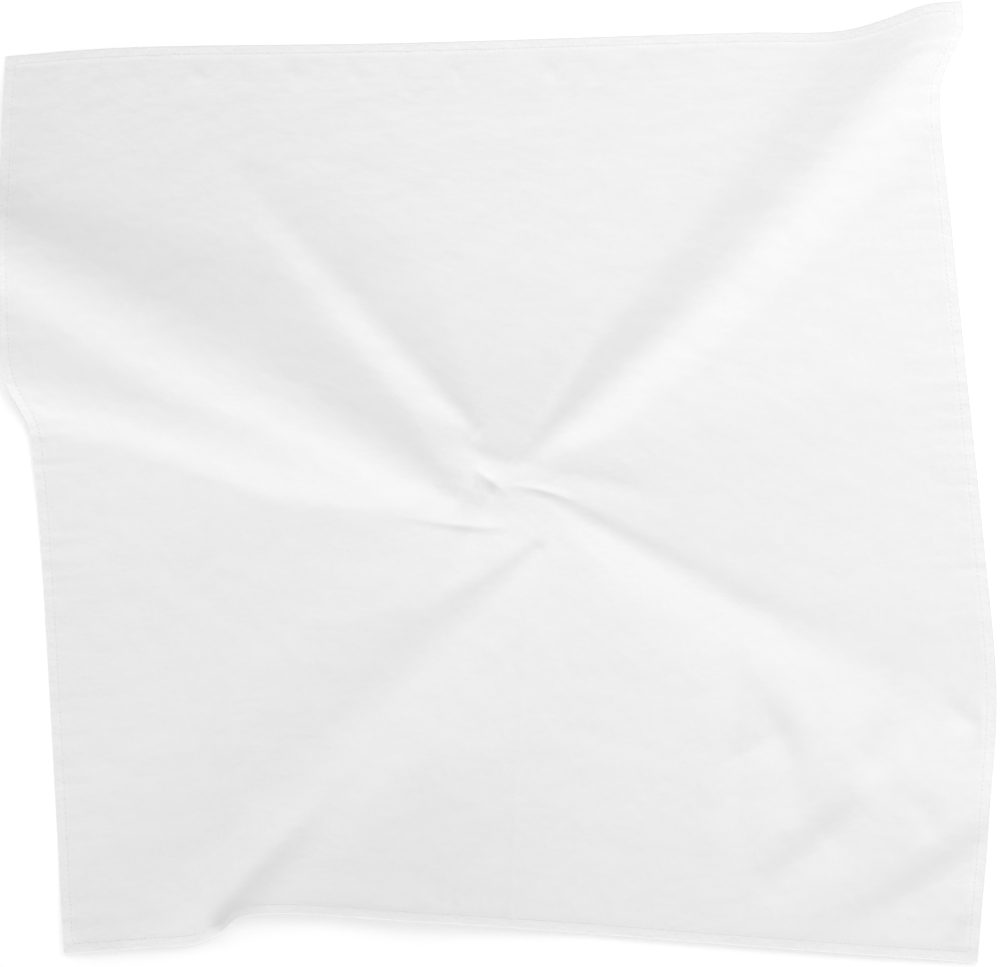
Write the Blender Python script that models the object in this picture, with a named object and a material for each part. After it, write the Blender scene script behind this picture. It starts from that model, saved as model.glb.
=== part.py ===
"""A plain white cotton bandana, laid out on a surface with soft folds running from its centre.

The cloth is one square sheet with a turned hem. Four edge curves give its outline as it
lies, blending them gives every point inside, and a short table of folds gives its height.
Lengths are in millimetres until the mesh is made, in metres. The origin is on the surface
below the middle of the cloth, +X to its right and +Y to its top.
"""

from collections import namedtuple

import bmesh
import bpy
import numpy as np

# Sheet.
CELLS = 46  # cells across the cloth between its two hems
HEM = 7.0  # width of the turned hem
HEM_STEP = 1.5  # width over which the hem's extra layers end
CLOTH_THICKNESS = 1.2
HEM_THICKNESS = 2.0
SIDE = 560.0  # side of the square when pulled flat
MM = 0.001

# Outline: each edge as it lies, corner to corner, as points (x, y) on a smooth curve.
TOP_LEFT = (-287, 248)
TOP_RIGHT = (269, 279)
BOTTOM_LEFT = (-253, -275)
BOTTOM_RIGHT = (279, -280)
TOP_EDGE = (
    TOP_LEFT, (-218, 253), (-55, 256), (143, 262), (201, 263), (225, 269), (248, 277), TOP_RIGHT,
)
BOTTOM_EDGE = (
    BOTTOM_LEFT, (-204, -271), (-177, -269), (-163, -263), (-152, -254), (-138, -251),
    (-50, -255), (117, -268), BOTTOM_RIGHT,
)
LEFT_EDGE = (
    TOP_LEFT, (-289, 211), (-290, 80), (-286, 57), (-274, 33), (-270, 4), (-255, -244), BOTTOM_LEFT,
)
RIGHT_EDGE = (
    TOP_RIGHT, (270, 263), (259, 237), (257, 223), (265, 141), (282, -25), (290, -121),
    (287, -183), BOTTOM_RIGHT,
)
EDGE_SAMPLES = 600  # points that an edge curve is worked out at

# Folds: a row for each, standing up from the surface. A crest runs from start through middle
# to end. heights, and left and right, the widths of the two flanks looking from start to end,
# are at those three points. crest and foot are how round the top and the bottom of the flanks
# are, as a share of the height.
Fold = namedtuple("Fold", "start middle end heights left right crest foot")
FOLDS = {
    "middle": Fold(
        (-14, 8), (0, 0), (14, -8), (8, 9, 8), (80, 90, 80), (80, 90, 80), 0.6, 0.6
    ),
    "top_right_corner": Fold(
        (14, 12), (143, 133), (268, 286), (7, 9, 12), (17, 36, 48), (24, 42, 52), 0.5, 0.3
    ),
    "right_sector": Fold(
        (14, 12), (143, 133), (268, 286), (3, 4, 5), (20, 40, 50), (60, 120, 150), 0.4, 0.5
    ),
    "upper_left": Fold(
        (-12, 29), (-86, 107), (-150, 178), (6.6, 7, 3), (26, 32, 34), (16, 36, 36), 0.4, 0.8
    ),
    "left_upper": Fold(
        (-24, -7), (-160, 68), (-302, 147), (7.6, 14.5, 16.5), (28, 53, 58), (16, 88, 50), 0.6, 0.4
    ),
    "left_lower": Fold(
        (6, -25), (-140, 19), (-300, 64), (2, 6, 11), (14, 26, 36), (60, 200, 240), 0.4, 0.2
    ),
    "left_rise": Fold(
        (-90, 36), (-190, 84), (-302, 147), (0, 8, 9.5), (40, 120, 160), (60, 120, 114), 0.4, 0.5
    ),
    "lower_left_corner": Fold(
        (24, -38), (-98, -152), (-228, -281), (5.5, 4.6, 6), (16, 110, 160), (18, 40, 54), 0.4, 0.6
    ),
    "lower_left_side": Fold(
        (-50, -128), (-103, -194), (-156, -264), (1, 5, 13), (60, 180, 280), (10, 14, 23), 0.5, 0.5
    ),
    "bottom_hem": Fold(
        (-150, -262), (-50, -266), (50, -272), (6, 14, 5), (60, 115, 90), (40, 40, 40), 0.5, 0.5
    ),
    "bottom_right_hem": Fold(
        (60, -273), (175, -285), (290, -293), (5, 6, 4.5), (80, 90, 70), (40, 40, 40), 0.5, 0.5
    ),
    "right": Fold(
        (20, -5), (156, -77), (292, -148), (5.5, 6.5, 4), (11, 30, 120), (22, 40, 60), 0.4, 0.4
    ),
    "right_rise": Fold(
        (20, -5), (156, -77), (292, -148), (4, 5, 3), (90, 150, 180), (30, 50, 60), 0.5, 0.5
    ),
}

# Creases: smaller folds that lie on the shape of the others, in the same columns.
CREASES = {
    "corner_dent_upper": Fold(
        (141, -118), (164, -148), (174, -190), (0, 3.8, 1.2), (12, 13, 13), (10, 40, 50), 0.5, 0.5
    ),
    "corner_dent_lower": Fold(
        (158, -234), (192, -206), (226, -177), (1.4, 3.5, 0.8), (13, 14, 13), (26, 30, 26), 0.5, 0.5
    ),
    "corner_diagonal": Fold(
        (190, -266), (242, -239), (290, -205), (0.4, 2.7, 2.9), (12, 13, 13), (26, 32, 32), 0.5, 0.5
    ),
}
FOLD_SAMPLES = 160  # points that a crest is worked out at
MERGE_POWER = 6.0  # how sharply folds that meet keep to the higher one


def smooth_max(a, b, reach):
    """The higher of a and b, with a round of size reach where they cross."""
    reach = np.maximum(reach, 1e-9)
    closeness = np.clip(1.0 - np.abs(a - b) / reach, 0.0, 1.0)
    return np.maximum(a, b) + reach * closeness**2 / 4.0


def fold_height(x, y, fold):
    """Height of one fold: two sloping planes that meet at its crest, rounded there and at the foot.

    The crest is a quadratic curve through start, middle and end. Each point takes the place on
    it that is nearest, and its distance to the left or right of the crest gives its height.
    Past the two ends the height runs out over the narrower flank's width.
    """
    start, middle, end = (np.array(p, float) for p in (fold.start, fold.middle, fold.end))
    handle = 2.0 * middle - (start + end) / 2.0
    t = np.linspace(0.0, 1.0, FOLD_SAMPLES)
    crest = np.outer((1 - t) ** 2, start) + np.outer(2 * t * (1 - t), handle) + np.outer(t**2, end)
    heading = 2 * np.outer(1 - t, handle - start) + 2 * np.outer(t, end - handle)
    speed = np.linalg.norm(heading, axis=1)
    heading /= speed[:, None]
    nearest = np.argmin((x[:, None] - crest[:, 0]) ** 2 + (y[:, None] - crest[:, 1]) ** 2, axis=1)
    away_x = x - crest[nearest, 0]
    away_y = y - crest[nearest, 1]
    side = heading[nearest, 0] * away_y - heading[nearest, 1] * away_x
    ahead = heading[nearest, 0] * away_x + heading[nearest, 1] * away_y
    along = t[nearest] + ahead / speed[nearest]
    beyond = speed[nearest] * np.maximum(np.maximum(-along, along - 1.0), 0.0)
    height = np.interp(along, (0.0, 0.5, 1.0), fold.heights)
    left = np.interp(along, (0.0, 0.5, 1.0), fold.left)
    right = np.interp(along, (0.0, 0.5, 1.0), fold.right)
    height = height * np.clip(1.0 - beyond / np.minimum(left, right), 0.0, 1.0)
    left_flank = height * (1.0 - side / left)
    right_flank = height * (1.0 + side / right)
    tent = -smooth_max(-left_flank, -right_flank, fold.crest * height)
    return smooth_max(tent, 0.0 * tent, fold.foot * height)


def height_at(x, y):
    """Height of the cloth over the surface: the highest of the folds, plus every crease."""
    shape = np.shape(x)
    x = np.asarray(x, float).ravel()
    y = np.asarray(y, float).ravel()
    folds = sum(fold_height(x, y, fold) ** MERGE_POWER for fold in FOLDS.values())
    creases = sum(fold_height(x, y, fold) for fold in CREASES.values())
    return (folds ** (1.0 / MERGE_POWER) + creases).reshape(shape)


def edge_curve(points, shares):
    """Places along an edge: shares of its length as it lies, up and down the folds.

    The curve through the points is a centripetal spline, so that it stays tight at close points.
    """
    points = np.array(points, float)
    before = 2 * points[0] - points[1]
    after = 2 * points[-1] - points[-2]
    points = np.vstack([before, points, after])
    knots = np.concatenate([[0.0], np.cumsum(np.linalg.norm(np.diff(points, axis=0), axis=1) ** 0.5)])
    t = np.linspace(knots[1], knots[-2], EDGE_SAMPLES)
    span = np.clip(np.searchsorted(knots, t, side="right") - 1, 1, len(points) - 3)

    def mix(a, b, first, last):
        share = ((t - knots[first]) / (knots[last] - knots[first]))[:, None]
        return a * (1 - share) + b * share

    p0, p1, p2, p3 = (points[span + k] for k in (-1, 0, 1, 2))
    a1 = mix(p0, p1, span - 1, span)
    a2 = mix(p1, p2, span, span + 1)
    a3 = mix(p2, p3, span + 1, span + 2)
    b1 = mix(a1, a2, span - 1, span + 1)
    b2 = mix(a2, a3, span, span + 2)
    curve = mix(b1, b2, span, span + 1)
    solid = np.column_stack([curve, height_at(curve[:, 0], curve[:, 1])])
    length = np.concatenate([[0.0], np.cumsum(np.linalg.norm(np.diff(solid, axis=0), axis=1))])
    length /= length[-1]
    return np.column_stack([np.interp(shares, length, curve[:, k]) for k in (0, 1)])


def grid_shares():
    """Grid lines across the cloth as shares of its side: evenly spaced, with the hem's own lines."""
    hem_lines = np.array([0.0, HEM]) / SIDE
    inner = np.linspace(HEM + HEM_STEP, SIDE - HEM - HEM_STEP, CELLS + 1) / SIDE
    return np.concatenate([hem_lines, inner, 1.0 - hem_lines[::-1]])


def lie_of_cloth():
    """Plan and height of every grid point: the four edges blended, then lifted by the folds."""
    shares = grid_shares()
    top, bottom, left, right = (
        edge_curve(edge, shares) for edge in (TOP_EDGE, BOTTOM_EDGE, LEFT_EDGE, RIGHT_EDGE)
    )
    across = shares[None, :, None]
    down = shares[:, None, None]
    between_rows = (1 - down) * top[None] + down * bottom[None]
    between_columns = (1 - across) * left[:, None] + across * right[:, None]
    corners = (
        (1 - down) * ((1 - across) * top[0] + across * top[-1])
        + down * ((1 - across) * bottom[0] + across * bottom[-1])
    )
    plan = between_rows + between_columns - corners
    return shares, plan, height_at(plan[..., 0], plan[..., 1])


def make_cloth():
    """The sheet: a triangle grid along its underside, given its thickness upwards.

    Each cell is cut along the diagonal whose ends are nearer in height, so that the cuts run
    with the folds and not across them.
    """
    shares, plan, height = lie_of_cloth()
    count = len(shares)
    mesh = bpy.data.meshes.new("bandana")
    grid = bmesh.new()
    rows = [
        [grid.verts.new((plan[j, i, 0] * MM, plan[j, i, 1] * MM, height[j, i] * MM)) for i in range(count)]
        for j in range(count)
    ]
    for upper, lower in zip(rows, rows[1:]):
        for a, b, c, d in zip(upper, lower, lower[1:], upper[1:]):
            if abs(a.co.z - c.co.z) <= abs(b.co.z - d.co.z):
                halves = ((a, b, c), (a, c, d))
            else:
                halves = ((a, b, d), (b, c, d))
            for half in halves:
                grid.faces.new(half)
    grid.to_mesh(mesh)
    grid.free()
    mesh.shade_smooth()

    cloth = bpy.data.objects.new("bandana", mesh)
    bpy.context.scene.collection.objects.link(cloth)
    edge_lines = (shares <= HEM / SIDE) | (shares >= 1.0 - HEM / SIDE)
    in_hem = edge_lines[:, None] | edge_lines[None, :]
    hem = cloth.vertex_groups.new(name="hem")
    hem.add(np.flatnonzero(in_hem).tolist(), 1.0, "REPLACE")
    thickness = cloth.modifiers.new("thickness", "SOLIDIFY")
    thickness.thickness = HEM_THICKNESS * MM
    thickness.offset = 1.0
    thickness.vertex_group = hem.name
    thickness.thickness_vertex_group = CLOTH_THICKNESS / HEM_THICKNESS
    return cloth


def cotton():
    """Plain white cotton, dull and without metal."""
    material = bpy.data.materials.new("white_cotton")
    material.use_nodes = True
    shader = material.node_tree.nodes["Principled BSDF"]
    shader.inputs["Base Color"].default_value = (0.84, 0.84, 0.845, 1.0)
    shader.inputs["Roughness"].default_value = 0.9
    shader.inputs["Metallic"].default_value = 0.0
    return material


for old in list(bpy.data.objects):
    bpy.data.objects.remove(old, do_unlink=True)
bandana = make_cloth()
bandana.data.materials.append(cotton())
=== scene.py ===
from collections import namedtuple

import bpy
import numpy as np
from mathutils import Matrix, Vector


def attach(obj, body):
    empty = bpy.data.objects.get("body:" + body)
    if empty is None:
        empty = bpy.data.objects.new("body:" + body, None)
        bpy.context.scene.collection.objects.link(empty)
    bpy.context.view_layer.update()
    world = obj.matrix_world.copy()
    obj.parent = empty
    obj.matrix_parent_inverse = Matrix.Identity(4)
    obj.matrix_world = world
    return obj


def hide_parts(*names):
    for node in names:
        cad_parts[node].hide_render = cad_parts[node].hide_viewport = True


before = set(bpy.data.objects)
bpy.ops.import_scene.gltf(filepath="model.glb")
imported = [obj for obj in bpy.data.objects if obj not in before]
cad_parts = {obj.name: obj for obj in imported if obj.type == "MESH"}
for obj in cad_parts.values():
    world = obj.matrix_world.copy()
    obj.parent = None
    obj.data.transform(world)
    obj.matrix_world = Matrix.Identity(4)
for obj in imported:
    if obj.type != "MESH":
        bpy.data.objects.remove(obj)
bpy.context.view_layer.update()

# ---------------------------------------------------------------------------------------------
# The cloth. One square of plain white woven cotton, its four edges turned under twice and sewn
# down. It was pinched and twisted a little at the middle and laid down, so that folds stand up
# from the middle to the edges, and it still shows the press folds it was packed with.
# Lengths in this section are in millimetres, and MM makes them metres.
# ---------------------------------------------------------------------------------------------
MM = 0.001
SIDE = 560.0  # side of the square when pulled flat
HEM = 7.0  # width of the turned hem
HEM_ROLL = 0.22  # radius that the hem's edge is rolled to
HEM_RISE = 0.14  # how far the hem's extra layers lift its face above the cloth
SEAM = 5.6  # distance of the stitches from the edge
SEAM_DIP = 0.05  # how deep the stitches pull the hem in
PUCKER = 0.15  # height of the puckers that the stitches draw up along the hem
PUCKER_REACH = 22.0  # how far the puckers run into the cloth
REST = 0.55  # height of the cloth's face over the surface where it lies flat
LOWEST = REST / 3.0  # the least height of the cloth's face

# Outline: each edge as it lies, corner to corner, as points (x, y) on a smooth curve.
TOP_LEFT = (-287, 248)
TOP_RIGHT = (269, 279)
BOTTOM_LEFT = (-253, -275)
BOTTOM_RIGHT = (279, -280)
TOP_EDGE = (
    TOP_LEFT, (-218, 253), (-55, 256), (143, 262), (201, 263), (225, 269), (248, 277), TOP_RIGHT,
)
BOTTOM_EDGE = (
    BOTTOM_LEFT, (-204, -271), (-177, -269), (-163, -263), (-152, -254), (-138, -251),
    (-50, -255), (117, -268), BOTTOM_RIGHT,
)
LEFT_EDGE = (
    TOP_LEFT, (-289, 211), (-290, 80), (-286, 57), (-274, 33), (-270, 4), (-255, -244), BOTTOM_LEFT,
)
RIGHT_EDGE = (
    TOP_RIGHT, (270, 263), (259, 237), (257, 223), (265, 141), (282, -25), (290, -121),
    (287, -183), BOTTOM_RIGHT,
)

# Folds: a row for each, standing up from the surface. A crest runs from start through middle
# to end. heights, and left and right, the widths of the two flanks looking from start to end,
# are at those three points. crest and foot are how round the top and the bottom of the flanks
# are, as a share of the height.
Fold = namedtuple("Fold", "start middle end heights left right crest foot")
FOLDS = {
    "middle": Fold(
        (-14, 8), (0, 0), (14, -8), (8, 9, 8), (80, 90, 80), (80, 90, 80), 0.6, 0.6
    ),
    "top_right_corner": Fold(
        (14, 12), (143, 133), (268, 286), (7, 9, 12), (17, 36, 48), (24, 42, 52), 0.5, 0.3
    ),
    "right_sector": Fold(
        (14, 12), (143, 133), (268, 286), (3, 4, 5), (20, 40, 50), (60, 120, 150), 0.4, 0.5
    ),
    "upper_left": Fold(
        (-12, 29), (-86, 107), (-150, 178), (6.6, 7, 3), (26, 32, 34), (16, 36, 36), 0.4, 0.8
    ),
    "left_upper": Fold(
        (-24, -7), (-160, 68), (-302, 147), (7.6, 14.5, 16.5), (28, 53, 58), (16, 88, 50), 0.6, 0.4
    ),
    "left_lower": Fold(
        (6, -25), (-140, 19), (-300, 64), (2, 6, 11), (14, 26, 36), (60, 200, 240), 0.4, 0.2
    ),
    "left_rise": Fold(
        (-90, 36), (-190, 84), (-302, 147), (0, 8, 9.5), (40, 120, 160), (60, 120, 114), 0.4, 0.5
    ),
    "lower_left_corner": Fold(
        (24, -38), (-98, -152), (-228, -281), (5.5, 4.6, 6), (16, 110, 160), (18, 40, 54), 0.4, 0.6
    ),
    "lower_left_side": Fold(
        (-50, -128), (-103, -194), (-156, -264), (1, 5, 13), (60, 180, 280), (10, 14, 23), 0.5, 0.5
    ),
    "bottom_hem": Fold(
        (-150, -262), (-50, -266), (50, -272), (6, 14, 5), (60, 115, 90), (40, 40, 40), 0.5, 0.5
    ),
    "bottom_right_hem": Fold(
        (60, -273), (175, -285), (290, -293), (5, 6, 4.5), (80, 90, 70), (40, 40, 40), 0.5, 0.5
    ),
    "right": Fold(
        (20, -5), (156, -77), (292, -148), (5.5, 6.5, 4), (11, 30, 120), (22, 40, 60), 0.4, 0.4
    ),
    "right_rise": Fold(
        (20, -5), (156, -77), (292, -148), (4, 5, 3), (90, 150, 180), (30, 50, 60), 0.5, 0.5
    ),
}

# Creases: small folds that lie on the cloth's shape, in the same columns. A height below zero
# is a trough.
CREASES = {
    "press_top_left": Fold(
        (-148, 240), (-148, 172), (-147, 80), (0, 1.4, 0), (5, 5, 5), (9, 9, 9), 0.1, 1.0
    ),
    "press_top_right": Fold(
        (133, 248), (133, 224), (134, 198), (0, -1.4, 0), (9, 9, 7), (9, 9, 7), 0.1, 1.0
    ),
    "press_bottom_middle": Fold(
        (19, -52), (12, -151), (7, -262), (0, -0.45, -0.45), (2.5, 2.5, 2.5), (2.5, 2.5, 2.5), 0.2, 1.0
    ),
    "press_bottom_right": Fold(
        (138, -72), (139, -162), (141, -256), (0.6, 2.4, 0), (9, 10, 10), (9, 10, 10), 0.1, 1.0
    ),
    "corner_dent_upper": Fold(
        (141, -118), (164, -148), (174, -190), (0, 3.8, 1.2), (12, 13, 13), (10, 40, 50), 0.5, 0.5
    ),
    "corner_dent_lower": Fold(
        (158, -234), (192, -206), (226, -177), (1.4, 3.5, 0.8), (13, 14, 13), (26, 30, 26), 0.5, 0.5
    ),
    "corner_diagonal": Fold(
        (190, -266), (242, -239), (290, -205), (0.4, 2.7, 2.9), (12, 13, 13), (26, 32, 32), 0.5, 0.5
    ),
    "corner_lobe": Fold(
        (204, -158), (219, -162), (236, -169), (0, 3.6, 0), (48, 56, 48), (14, 20, 14), 0.4, 0.6
    ),
    "corner_pull": Fold(
        (274, -229), (271, -251), (260, -268), (0, -2, 0), (4, 4, 4), (3, 3, 3), 0.5, 0.8
    ),
    "corner_bump": Fold(
        (247, -190), (251, -197), (253, -204), (1.2, 1.6, 1.2), (8, 8, 8), (8, 8, 8), 0.8, 0.8
    ),
    "right_end": Fold(
        (264, -132), (269, -136), (274, -140), (1.0, 1.6, 1.0), (7, 7, 7), (7, 7, 7), 0.8, 0.8
    ),
    "right_mark": Fold(
        (280, -118), (281, -138), (280, -158), (0, -1.2, 0), (3, 3, 3), (3, 3, 3), 0.5, 0.8
    ),
    "right_top_wave": Fold(
        (36, 4), (66, -2), (102, -16), (0.6, 1.2, 0), (8, 9, 8), (8, 9, 8), 0.8, 0.8
    ),
    "left_foot": Fold(
        (-60, -20), (-20, -26), (10, -27), (0, -1.2, 0), (9, 9, 9), (2.5, 2.5, 2.5), 0.3, 0.8
    ),
    "middle_ridge": Fold(
        (-24, 33), (-8, 15), (34, 7), (0, 1.6, 0), (8, 8, 8), (7, 7, 7), 0.8, 0.8
    ),
    "middle_pit": Fold(
        (-15, 9), (-4, 0), (7, -8), (0, -1.9, 0), (5, 5, 5), (4, 4, 4), 0.5, 0.7
    ),
    "middle_slit": Fold(
        (4, -2), (27, -5.5), (48, -13), (0, -1.2, 0), (3, 3, 3), (3, 3, 3), 0.3, 0.7
    ),
    "middle_hollow": Fold(
        (-38, 2), (-16, -4), (10, -13), (0, -2, 0), (20, 26, 20), (8, 9, 8), 0.5, 0.8
    ),
}

# Crinkles: short ripples where the twist has gathered the cloth. They stand side by side, 3.2 mm
# apart, down a line that falls to the right, and every third one is a little higher.
CRINKLES = {
    f"crinkle_{k}": Fold(
        (-30 + 3.2 * k, 10 - 1.3 * k), (-29 + 3.2 * k, 3 - 1.3 * k), (-29.5 + 3.2 * k, -5 - 1.1 * k),
        (0, 0.5 + 0.2 * (k % 3), 0), (1.5, 1.6, 1.5), (1.5, 1.6, 1.5), 0.6, 0.8,
    )
    for k in range(9)
}

# Puckers: short slanting ridges that the stitches pull up below the top hem, each at its place
# across. The hem rises 1 in 60 to the right, and the puckers with it.
PUCKER_PLACES = (-232, -211, -175, -149, -118, -84, -58, -24, 31, 54, 86)
PUCKERS = {
    f"pucker_{k}": Fold(
        (x - 5, 247 + x / 60), (x, 239 + x / 60), (x + 3 * (k % 3), 228 + x / 60),
        (0, 0.45 + 0.2 * (k % 3), 0), (3, 4, 5), (3, 4, 5), 0.6, 0.8,
    )
    for k, x in enumerate(PUCKER_PLACES)
}


def smooth_max(a, b, reach):
    """The higher of a and b, with a round of size reach where they cross.

    It adds a quarter of reach, times the square of their closeness, which falls from 1 where
    they are equal to 0 where they are reach apart.
    """
    reach = np.maximum(reach, 1e-9)
    closeness = np.clip(1.0 - np.abs(a - b) / reach, 0.0, 1.0)
    return np.maximum(a, b) + reach * closeness**2 / 4.0


CREST_SAMPLES = 121
CREST_PLACES = (0.0, 0.5, 1.0)  # start, middle and end, as shares of a crest


def fold_height(x, y, fold):
    """Height of one fold: two sloping planes that meet at its crest, rounded there and at the foot.

    The crest is a quadratic curve through start, middle and end. Each point takes the place on
    it that is nearest, and its distance to the left or right of the crest gives its height.
    Past the two ends the height runs out over the narrower flank's width.
    """
    start, middle, end = (np.array(p, float) for p in (fold.start, fold.middle, fold.end))
    handle = 2.0 * middle - (start + end) / 2.0
    t = np.linspace(0.0, 1.0, CREST_SAMPLES)
    crest = np.outer((1 - t) ** 2, start) + np.outer(2 * t * (1 - t), handle) + np.outer(t**2, end)
    heading = 2 * np.outer(1 - t, handle - start) + 2 * np.outer(t, end - handle)
    speed = np.linalg.norm(heading, axis=1)
    heading /= speed[:, None]
    reach = (1.0 + fold.foot) * max(fold.left + fold.right)
    low, high = crest.min(axis=0) - reach, crest.max(axis=0) + reach
    near = (x > low[0]) & (x < high[0]) & (y > low[1]) & (y < high[1])
    result = np.zeros_like(x)
    x, y = x[near], y[near]
    place = np.argmin((x[:, None] - crest[:, 0]) ** 2 + (y[:, None] - crest[:, 1]) ** 2, axis=1)
    away_x = x - crest[place, 0]
    away_y = y - crest[place, 1]
    side = heading[place, 0] * away_y - heading[place, 1] * away_x
    along = t[place] + (heading[place, 0] * away_x + heading[place, 1] * away_y) / speed[place]
    beyond = speed[place] * np.maximum(np.maximum(-along, along - 1.0), 0.0)
    height = np.interp(along, CREST_PLACES, np.abs(fold.heights))
    left = np.interp(along, CREST_PLACES, fold.left)
    right = np.interp(along, CREST_PLACES, fold.right)
    height = height * np.clip(1.0 - beyond / np.minimum(left, right), 0.0, 1.0)
    left_flank = height * (1.0 - side / left)
    right_flank = height * (1.0 + side / right)
    tent = -smooth_max(-left_flank, -right_flank, fold.crest * height)
    result[near] = smooth_max(tent, 0.0 * tent, fold.foot * height)
    return result


MERGE_POWER = 6.0  # how closely folds that cross follow the highest of them


def height_at(x, y):
    """Height of the cloth's face: the folds merged, plus every crease with its sign.

    The folds merge as the root of the sum of their powers, both of MERGE_POWER. The face never
    comes nearer to the surface than LOWEST.
    """
    shape = np.shape(x)
    x = np.asarray(x, float).ravel()
    y = np.asarray(y, float).ravel()
    powers = sum(fold_height(x, y, fold) ** MERGE_POWER for fold in FOLDS.values())
    folds = powers ** (1.0 / MERGE_POWER)
    small_folds = [*CREASES.values(), *CRINKLES.values(), *PUCKERS.values()]
    creases = sum(np.sign(sum(row.heights)) * fold_height(x, y, row) for row in small_folds)
    return smooth_max(REST + folds + creases, LOWEST, LOWEST).reshape(shape)


EDGE_SAMPLES = 1200


def edge_curve(points, shares):
    """Places along an edge: shares of its length as it lies, up and down the folds.

    The curve through the points is a Catmull-Rom spline. Its knots are as far apart as the
    square roots of the distances between points, so that it stays tight where they are close.
    """
    points = np.array(points, float)
    before = 2 * points[0] - points[1]
    after = 2 * points[-1] - points[-2]
    points = np.vstack([before, points, after])
    knots = np.concatenate([[0.0], np.cumsum(np.linalg.norm(np.diff(points, axis=0), axis=1) ** 0.5)])
    t = np.linspace(knots[1], knots[-2], EDGE_SAMPLES)
    span = np.clip(np.searchsorted(knots, t, side="right") - 1, 1, len(points) - 3)

    def mix(a, b, first, last):
        share = ((t - knots[first]) / (knots[last] - knots[first]))[:, None]
        return a * (1 - share) + b * share

    p0, p1, p2, p3 = (points[span + k] for k in (-1, 0, 1, 2))
    a1 = mix(p0, p1, span - 1, span)
    a2 = mix(p1, p2, span, span + 1)
    a3 = mix(p2, p3, span + 1, span + 2)
    b1 = mix(a1, a2, span - 1, span + 1)
    b2 = mix(a2, a3, span, span + 2)
    curve = mix(b1, b2, span, span + 1)
    solid = np.column_stack([curve, height_at(curve[:, 0], curve[:, 1])])
    length = np.concatenate([[0.0], np.cumsum(np.linalg.norm(np.diff(solid, axis=0), axis=1))])
    length /= length[-1]
    return np.column_stack([np.interp(shares, length, curve[:, k]) for k in (0, 1)])


EDGE_SHARES = np.linspace(0.0, 1.0, EDGE_SAMPLES + 1)
TOP, BOTTOM, LEFT, RIGHT = (
    edge_curve(edge, EDGE_SHARES) for edge in (TOP_EDGE, BOTTOM_EDGE, LEFT_EDGE, RIGHT_EDGE)
)


def plan_at(across, down):
    """Place on the surface of a point of the flat square, across and down it in millimetres.

    It blends the top and bottom edges by the share down and the left and right edges by the
    share across, less the blend of the four corners, which the two blends both hold.
    """
    u, v = across / SIDE, down / SIDE
    top, bottom = (
        np.stack([np.interp(u, EDGE_SHARES, edge[:, k]) for k in (0, 1)], axis=-1)
        for edge in (TOP, BOTTOM)
    )
    left, right = (
        np.stack([np.interp(v, EDGE_SHARES, edge[:, k]) for k in (0, 1)], axis=-1)
        for edge in (LEFT, RIGHT)
    )
    u, v = u[..., None], v[..., None]
    corners = (1 - v) * ((1 - u) * TOP[0] + u * TOP[-1]) + v * ((1 - u) * BOTTOM[0] + u * BOTTOM[-1])
    return (1 - v) * top + v * bottom + (1 - u) * left + u * right - corners


RIPPLE_LENGTHS = (8.0, 10.5, 13.0, 17.0, 24.0)
RIPPLE_SWELLS = (60.0, 150.0)  # shortest and longest stretch over which a ripple swells and dies


def ripple(along, seed):
    """An uneven wave along an edge, mostly between -1 and 1.

    It sums a sine of each of the ripple lengths. Each is multiplied by a slower sine from 0 to 1,
    so that it swells and dies away, and starts at a seeded random place. The sum is divided by
    half the number of sines.
    """
    rng = np.random.default_rng(seed)
    wave = 0.0 * along
    for length in RIPPLE_LENGTHS:
        swell = 0.5 + 0.5 * np.sin(2 * np.pi * (along / rng.uniform(*RIPPLE_SWELLS) + rng.random()))
        wave = wave + swell * np.sin(2 * np.pi * (along / length + rng.random()))
    return wave / (len(RIPPLE_LENGTHS) / 2)


HEM_STEP = 2.0  # width over which the hem's extra layers end at its sewn side
SEAM_WIDTH = 0.7  # how wide the dip along the stitches is to each side
PUCKER_FADE = 1.5  # the power in the fading of the puckers


def hem_shape(across, down):
    """Lift of the face by the hem: its extra layers, the dip along the stitches, and the puckers.

    The layers end in a straight slope, and the dip is a bell curve. The puckers are each edge's
    ripple. Inward of the stitches, with r the distance from them over PUCKER_REACH, the ripple
    is multiplied by the exponential of minus r to the power PUCKER_FADE.
    """
    inward = np.minimum(np.minimum(across, SIDE - across), np.minimum(down, SIDE - down))
    lift = HEM_RISE * np.clip((HEM + HEM_STEP / 2 - inward) / HEM_STEP, 0.0, 1.0)
    lift = lift - SEAM_DIP * np.exp(-(((inward - SEAM) / SEAM_WIDTH) ** 2))
    edges = ((down, across), (SIDE - down, across), (across, down), (SIDE - across, down))
    for seed, (depth, along) in enumerate(edges):
        share = np.exp(-((np.maximum(depth - SEAM, 0.0) / PUCKER_REACH) ** PUCKER_FADE))
        lift = lift + PUCKER * share * ripple(along, seed)
    return lift


UNDERSIDE_GAP = 0.05  # least gap between the hem's underside and the surface


def surface_at(across, down):
    """Point of the cloth's face over a point of the flat square, in millimetres."""
    plan = plan_at(across, down)
    height = height_at(plan[..., 0], plan[..., 1]) + hem_shape(across, down)
    height = np.maximum(height, 2 * HEM_ROLL + UNDERSIDE_GAP)
    return np.concatenate([plan, height[..., None]], axis=-1)


# Grid lines, by their distance in from the edge: under the hem, round its edge, over the hem,
# and from FACE_START to the middle of the cloth. MIDDLE_CROWD and MIDDLE_REACH are how much
# closer the lines stand at the middle, and within what distance of it.
UNDER_LINES = (HEM, 4.0, 1.5)
EDGE_LINES = 6
HEM_LINES = (0.9, 2.2, 3.6, 4.6, 5.1, 5.6, 6.1, 6.6, 7.2, 8.0)
FACE_START = 9.2
FACE_LINES = 132
MIDDLE_CROWD = 2.2
MIDDLE_REACH = 50.0


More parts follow.
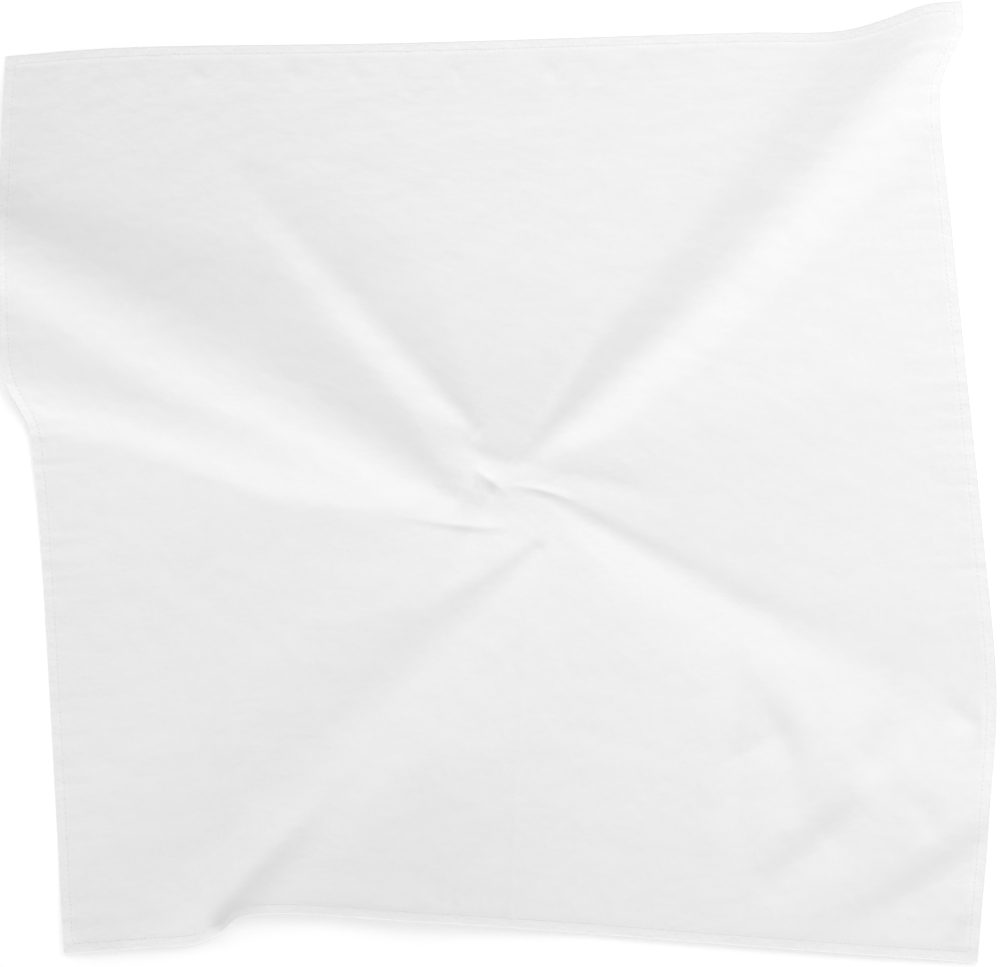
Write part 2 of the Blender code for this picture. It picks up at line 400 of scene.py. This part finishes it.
def grid_lines():
    """Grid lines across half the cloth: their distance in from the edge, and drop below the face.

    The first lines run under the cloth from the hem's sewn side out to the edge, then round the
    edge on a half circle, and the rest over the face. There the number of lines to a millimetre
    rises toward the middle as 1 plus a bell curve of the distance from it.
    """
    under = np.column_stack([UNDER_LINES, np.full(len(UNDER_LINES), 2 * HEM_ROLL)])
    turn = np.radians(np.linspace(0.0, 180.0, EDGE_LINES))
    edge = np.column_stack([HEM_ROLL * (1 - np.sin(turn)), HEM_ROLL * (1 + np.cos(turn))])
    place = np.linspace(0.0, 1.0, 2001)  # fine steps from FACE_START to the middle
    closeness = 1.0 + MIDDLE_CROWD * np.exp(-(((1.0 - place) * SIDE / 2 / MIDDLE_REACH) ** 2))
    count = np.cumsum(closeness)
    count = (count - count[0]) / (count[-1] - count[0])
    distance = FACE_START + place * (SIDE / 2 - FACE_START)
    inner = np.interp(np.linspace(0.0, 1.0, FACE_LINES), count, distance)
    over = np.concatenate([HEM_LINES, inner])
    return np.vstack([under, edge, np.column_stack([over, 0.0 * over])])


# The sheet has the same grid lines across as down. Those of its far half mirror the near half's.
half = grid_lines()
inward = np.concatenate([half[:, 0], SIDE - half[-2::-1, 0]])
drop = np.concatenate([half[:, 1], half[-2::-1, 1]])
across, down = np.meshgrid(inward, inward)
points = surface_at(across, down)
points[..., 2] -= np.maximum(drop[:, None], drop[None, :])
count = len(inward)
corner = (np.arange(count - 1)[:, None] * count + np.arange(count - 1)[None, :]).ravel()
faces = np.column_stack([corner, corner + count, corner + count + 1, corner + 1])

cloth_mesh = bpy.data.meshes.new("bandana_cloth")
cloth_mesh.from_pydata(points.reshape(-1, 3) * MM, [], faces)
cloth_mesh.shade_smooth()
flat_map = cloth_mesh.uv_layers.new(name="flat")
flat = np.stack([across, down], axis=-1).reshape(-1, 2) * MM
corners_of = np.empty(len(cloth_mesh.loops), np.int32)
cloth_mesh.loops.foreach_get("vertex_index", corners_of)
flat_map.data.foreach_set("uv", flat[corners_of].ravel().astype(np.float32))

# The hem's share of each point, which is 1 on the hem and fades to 0 at its sewn side. The
# material reads it, because the hem's layers are whiter and have gathers.
HEM_FADE = 1.2  # width of the fading
in_hem = np.minimum(np.minimum(across, SIDE - across), np.minimum(down, SIDE - down))
in_hem = np.clip((HEM + HEM_FADE / 2 - in_hem) / HEM_FADE, 0.0, 1.0).ravel().astype(np.float32)
cloth_mesh.attributes.new("hem", "FLOAT", "POINT").data.foreach_set("value", in_hem)
cloth = bpy.data.objects.new("bandana_cloth", cloth_mesh)
bpy.context.scene.collection.objects.link(cloth)

THREAD_PITCH = 0.42  # one thread and the gap beside it
# The height of each layer of the cloth's fine relief.
RELIEF = {"weave": 0.04, "slubs": 0.02, "creasing": 1.1, "handling": 0.16, "gathers": 0.3}
SLUB_SCALE = 900.0  # about how many slubs there are in a metre
SLUB_STRETCH = 0.03  # a slub's width as a share of its length along the thread


def cotton_material(name, colour):
    """Plain-woven cotton: its weave, uneven threads and soft creasing are bumps on the flat map.

    The weave is the product of a sine across and a sine down, one half wave to a thread, made
    positive, so that a bump stands wherever one thread passes over another.
    """
    material = bpy.data.materials.new(name)
    material.use_nodes = True
    nodes, links = material.node_tree.nodes, material.node_tree.links
    shader = nodes["Principled BSDF"]
    shader.inputs["Metallic"].default_value = 0.0
    shader.inputs["Specular IOR Level"].default_value = 0.25
    shader.inputs["Sheen Weight"].default_value = 0.08
    shader.inputs["Sheen Roughness"].default_value = 0.5

    def node(kind, label, **settings):
        made = nodes.new(kind)
        made.label = label
        for key, value in settings.items():
            setattr(made, key, value)
        return made

    def maths(operation, label, first, second=None):
        made = node("ShaderNodeMath", label, operation=operation)
        for socket, value in zip(made.inputs, (first, second)):
            if value is None:
                continue
            if isinstance(value, (int, float)):
                socket.default_value = value
            else:
                links.new(value, socket)
        return made.outputs[0]

    def noise(label, vector, scale, detail):
        made = node("ShaderNodeTexNoise", label)
        made.inputs["Scale"].default_value = scale
        made.inputs["Detail"].default_value = detail
        links.new(vector, made.inputs["Vector"])
        return made.outputs["Fac"]

    def stretched(label, stretch):
        made = node("ShaderNodeMapping", label)
        made.inputs["Scale"].default_value = stretch
        links.new(flat_uv, made.inputs["Vector"])
        return made.outputs["Vector"]

    flat_uv = node("ShaderNodeUVMap", "flat square, in metres", uv_map="flat").outputs["UV"]
    split = node("ShaderNodeSeparateXYZ", "across and down")
    links.new(flat_uv, split.inputs["Vector"])
    per_metre = np.pi / (THREAD_PITCH * MM)
    warp = maths("SINE", "warp", maths("MULTIPLY", "warp threads", split.outputs["X"], per_metre))
    weft = maths("SINE", "weft", maths("MULTIPLY", "weft threads", split.outputs["Y"], per_metre))
    weave = maths("ABSOLUTE", "weave", maths("MULTIPLY", "crossings", warp, weft))
    along_warp = stretched("along the warp", (1.0, SLUB_STRETCH, 1.0))
    warp_slub = noise("thick warp threads", along_warp, SLUB_SCALE, 2.0)
    along_weft = stretched("along the weft", (SLUB_STRETCH, 1.0, 1.0))
    weft_slub = noise("thick weft threads", along_weft, SLUB_SCALE, 2.0)
    slub = maths("ADD", "slubs", warp_slub, weft_slub)
    soft = noise("soft creasing", flat_uv, 38.0, 3.0)
    fine = noise("handling", flat_uv, 150.0, 2.0)
    gathers = noise("gathers at the stitches", flat_uv, 330.0, 2.0)
    hem_share = node("ShaderNodeAttribute", "hem", attribute_name="hem").outputs["Fac"]
    gathers = maths("SUBTRACT", "above and below", gathers, 0.5)
    gathers = maths("MULTIPLY", "only in the hem", gathers, hem_share)

    height = maths("MULTIPLY", "height of the weave", weave, RELIEF["weave"] * MM)
    layers = (("slubs", slub), ("creasing", soft), ("handling", fine), ("gathers", gathers))
    for layer, value in layers:
        layer_height = maths("MULTIPLY", f"height of the {layer}", value, RELIEF[layer] * MM)
        height = maths("ADD", "sum", height, layer_height)
    bump = node("ShaderNodeBump", "cloth relief")
    bump.inputs["Strength"].default_value = 1.0
    bump.inputs["Distance"].default_value = 1.0
    links.new(height, bump.inputs["Height"])
    links.new(bump.outputs["Normal"], shader.inputs["Normal"])

    tone = node("ShaderNodeMix", "thread tone", data_type="RGBA")
    factor, darker, lighter = (tone.inputs[k] for k in (0, 6, 7))  # the factor, and colours A and B
    thread_share = maths("MULTIPLY", "thread share", slub, 0.4)
    layer_share = maths("MULTIPLY", "the hem's layers hold more light back", hem_share, 0.5)
    links.new(maths("ADD", "tone share", thread_share, layer_share), factor)
    # Threads run from 1.5% darker to 2.5% lighter than the cotton's own colour.
    darker.default_value = (*[0.985 * c for c in colour], 1.0)
    lighter.default_value = (*[1.025 * c for c in colour], 1.0)
    links.new(tone.outputs[2], shader.inputs["Base Color"])
    dull = node("ShaderNodeMapRange", "dullness")
    dull.inputs["To Min"].default_value = 0.82
    dull.inputs["To Max"].default_value = 0.96
    links.new(fine, dull.inputs["Value"])
    links.new(dull.outputs["Result"], shader.inputs["Roughness"])
    return material


white_cotton = cotton_material("white_cotton", (0.77, 0.77, 0.77))
cloth_mesh.materials.append(white_cotton)
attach(cloth, "root")
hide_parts("bandana")

# ---------------------------------------------------------------------------------------------
# Hem stitches. One row of white cotton lockstitch all round, just inside the hem's sewn side,
# which holds the turned edge down. Each stitch arches over the face and narrows at both ends.
# ---------------------------------------------------------------------------------------------
STITCH_PITCH = 2.7  # from one stitch to the next
STITCH_LENGTH = 2.2  # the part of a stitch that shows
STITCH_RISE = 0.02  # height of a stitch's ends over the cloth's face
STITCH_ARCH = 0.1  # how much higher its middle stands
THREAD_RADIUS = 0.14
END_ROUND = 0.97  # how far along the half circle that rounds its ends a stitch runs
RING_COUNT = 6  # rings along a stitch
RING_SIZE = 5  # points round a ring
AHEAD = 0.5  # distance ahead to the place that gives a stitch's heading


def stitch_row(along, side):
    """Places on the flat square of the points that the stitches of one side run through."""
    in_from_edge = np.full_like(along, SEAM)
    return {
        "top": (along, in_from_edge),
        "bottom": (along, SIDE - in_from_edge),
        "left": (in_from_edge, along),
        "right": (SIDE - in_from_edge, along),
    }[side]


def stitch_points(side):
    """Rings of points round each stitch of a side: stitches, rings along one, points round a ring.

    With place running from -1 to 1 along a stitch, a ring's centre stands over the cloth's face
    by STITCH_RISE and STITCH_ARCH times one minus the square of place, and its radius is the
    thread's times the root of one minus the square of END_ROUND times place.
    """
    middles = np.arange(SEAM + STITCH_PITCH / 2, SIDE - SEAM, STITCH_PITCH)
    places = np.linspace(-1.0, 1.0, RING_COUNT)
    along = middles[:, None] + places * STITCH_LENGTH / 2
    centre = surface_at(*stitch_row(along, side))
    ahead = surface_at(*stitch_row(along + AHEAD, side)) - centre
    ahead /= np.linalg.norm(ahead, axis=-1, keepdims=True)
    sideways = np.cross(ahead, (0.0, 0.0, 1.0))
    sideways /= np.linalg.norm(sideways, axis=-1, keepdims=True)
    upward = np.cross(sideways, ahead)
    radius = THREAD_RADIUS * np.sqrt(1.0 - (END_ROUND * places) ** 2)
    centre = centre + upward * (STITCH_ARCH * (1.0 - places**2) + STITCH_RISE)[None, :, None]
    turn = np.linspace(0.0, 2 * np.pi, RING_SIZE, endpoint=False)
    ring = np.cos(turn)[:, None] * sideways[:, :, None] + np.sin(turn)[:, None] * upward[:, :, None]
    return centre[:, :, None] + radius[None, :, None, None] * ring


rings = np.concatenate([stitch_points(side) for side in ("top", "bottom", "left", "right")])
index = np.arange(len(rings) * RING_COUNT * RING_SIZE).reshape(rings.shape[:3])
# Walls run from each ring of a stitch to the next, and its first and last rings close its ends.
near_ring, far_ring = index[:, :-1], index[:, 1:]
walls = np.stack(
    [near_ring, far_ring, np.roll(far_ring, -1, axis=2), np.roll(near_ring, -1, axis=2)], axis=-1
)
stitch_faces = walls.reshape(-1, 4).tolist()
stitch_faces += index[:, 0].tolist() + index[:, -1, ::-1].tolist()
stitch_mesh = bpy.data.meshes.new("hem_stitches")
stitch_mesh.from_pydata(rings.reshape(-1, 3) * MM, [], stitch_faces)
stitch_mesh.shade_smooth()
stitches = bpy.data.objects.new("hem_stitches", stitch_mesh)
bpy.context.scene.collection.objects.link(stitches)

# White cotton thread: uneven in tone and thickness along its length.
FUZZ = 0.03  # how far the thread's unevenness stands out

thread = bpy.data.materials.new("white_thread")
thread.use_nodes = True
thread_nodes, thread_links = thread.node_tree.nodes, thread.node_tree.links
thread_shader = thread_nodes["Principled BSDF"]
thread_shader.inputs["Roughness"].default_value = 0.6
thread_shader.inputs["Sheen Weight"].default_value = 0.1
thread_place = thread_nodes.new("ShaderNodeTexCoord")
thread_noise = thread_nodes.new("ShaderNodeTexNoise")
thread_noise.inputs["Scale"].default_value = 2500.0
thread_links.new(thread_place.outputs["Object"], thread_noise.inputs["Vector"])
thread_tone = thread_nodes.new("ShaderNodeMix")
thread_tone.data_type = "RGBA"
# The mix's sockets are its factor, and colours A and B.
thread_factor, thread_darker, thread_lighter = (thread_tone.inputs[k] for k in (0, 6, 7))
thread_darker.default_value = (0.74, 0.74, 0.74, 1.0)
thread_lighter.default_value = (0.80, 0.80, 0.80, 1.0)
thread_links.new(thread_noise.outputs["Fac"], thread_factor)
thread_links.new(thread_tone.outputs[2], thread_shader.inputs["Base Color"])
thread_bump = thread_nodes.new("ShaderNodeBump")
thread_bump.inputs["Distance"].default_value = FUZZ * MM
thread_links.new(thread_noise.outputs["Fac"], thread_bump.inputs["Height"])
thread_links.new(thread_bump.outputs["Normal"], thread_shader.inputs["Normal"])
stitch_mesh.materials.append(thread)

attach(stitches, "root")

# ---------------------------------------------------------------------------------------------
# Studio. A plain white table, soft light from all round, a soft key light on the right, a low
# front light on the cloth, a weak rear light on the table, and a camera straight above.
# Lengths in this section are in metres.
# ---------------------------------------------------------------------------------------------
TABLE_REACH = 4.0  # from the middle of the table to each side
CAMERA_HEIGHT = 2.0

table_corners = TABLE_REACH * np.array([(-1, -1, 0), (1, -1, 0), (1, 1, 0), (-1, 1, 0)])
table_mesh = bpy.data.meshes.new("table")
table_mesh.from_pydata(table_corners, [], [(0, 1, 2, 3)])
table = bpy.data.objects.new("table", table_mesh)
bpy.context.scene.collection.objects.link(table)
paper = bpy.data.materials.new("white_table")
paper.use_nodes = True
paper_shader = paper.node_tree.nodes["Principled BSDF"]
paper_shader.inputs["Base Color"].default_value = (0.93, 0.93, 0.93, 1.0)
paper_shader.inputs["Roughness"].default_value = 0.8
paper_shader.inputs["Emission Color"].default_value = (1.0, 1.0, 1.0, 1.0)
paper_shader.inputs["Emission Strength"].default_value = 0.22
table_mesh.materials.append(paper)

world = bpy.data.worlds.new("studio")
bpy.context.scene.world = world
world.use_nodes = True
sky = world.node_tree.nodes["Background"]
sky.inputs["Color"].default_value = (1.0, 1.0, 1.0, 1.0)
sky.inputs["Strength"].default_value = 0.725

key_data = bpy.data.lights.new("key", "AREA")
key_data.shape = "RECTANGLE"
key_data.size = 0.5
key_data.size_y = 0.5
key_data.energy = 1.42
key = bpy.data.objects.new("key", key_data)
key.location = (0.38, 0.2, 0.75)
key.visible_camera = False
bpy.context.scene.collection.objects.link(key)


def distant_light(name, direction, width, energy, lit):
    """A far light that stands in a direction, is that many radians wide, and falls on lit only."""
    light_data = bpy.data.lights.new(name, "SUN")
    light_data.angle = width
    light_data.energy = energy
    light = bpy.data.objects.new(name, light_data)
    light.rotation_mode = "QUATERNION"
    light.rotation_quaternion = Vector(direction).to_track_quat("Z", "Y")
    bpy.context.scene.collection.objects.link(light)
    receivers = bpy.data.collections.new(f"lit by the {name} light")
    for piece in lit:
        receivers.objects.link(piece)
    light.light_linking.receiver_collection = receivers


# The front light shapes the folds. The rear light throws their shadow forward on the table.
distant_light("front", (-0.18, -0.8, 0.42), width=0.9, energy=1.8, lit=[cloth, stitches])
distant_light("rear", (-0.1, 0.7, 0.6), width=0.8, energy=0.34, lit=[table])

camera_data = bpy.data.cameras.new("camera")
camera_data.sensor_width = 36.0
camera_data.lens = 123.4  # takes in 0.583 m across the table
camera = bpy.data.objects.new("camera", camera_data)
camera.location = (0.001, -0.001, CAMERA_HEIGHT)
bpy.context.scene.collection.objects.link(camera)
bpy.context.scene.camera = camera
bpy.context.scene.view_settings.view_transform = "Standard"
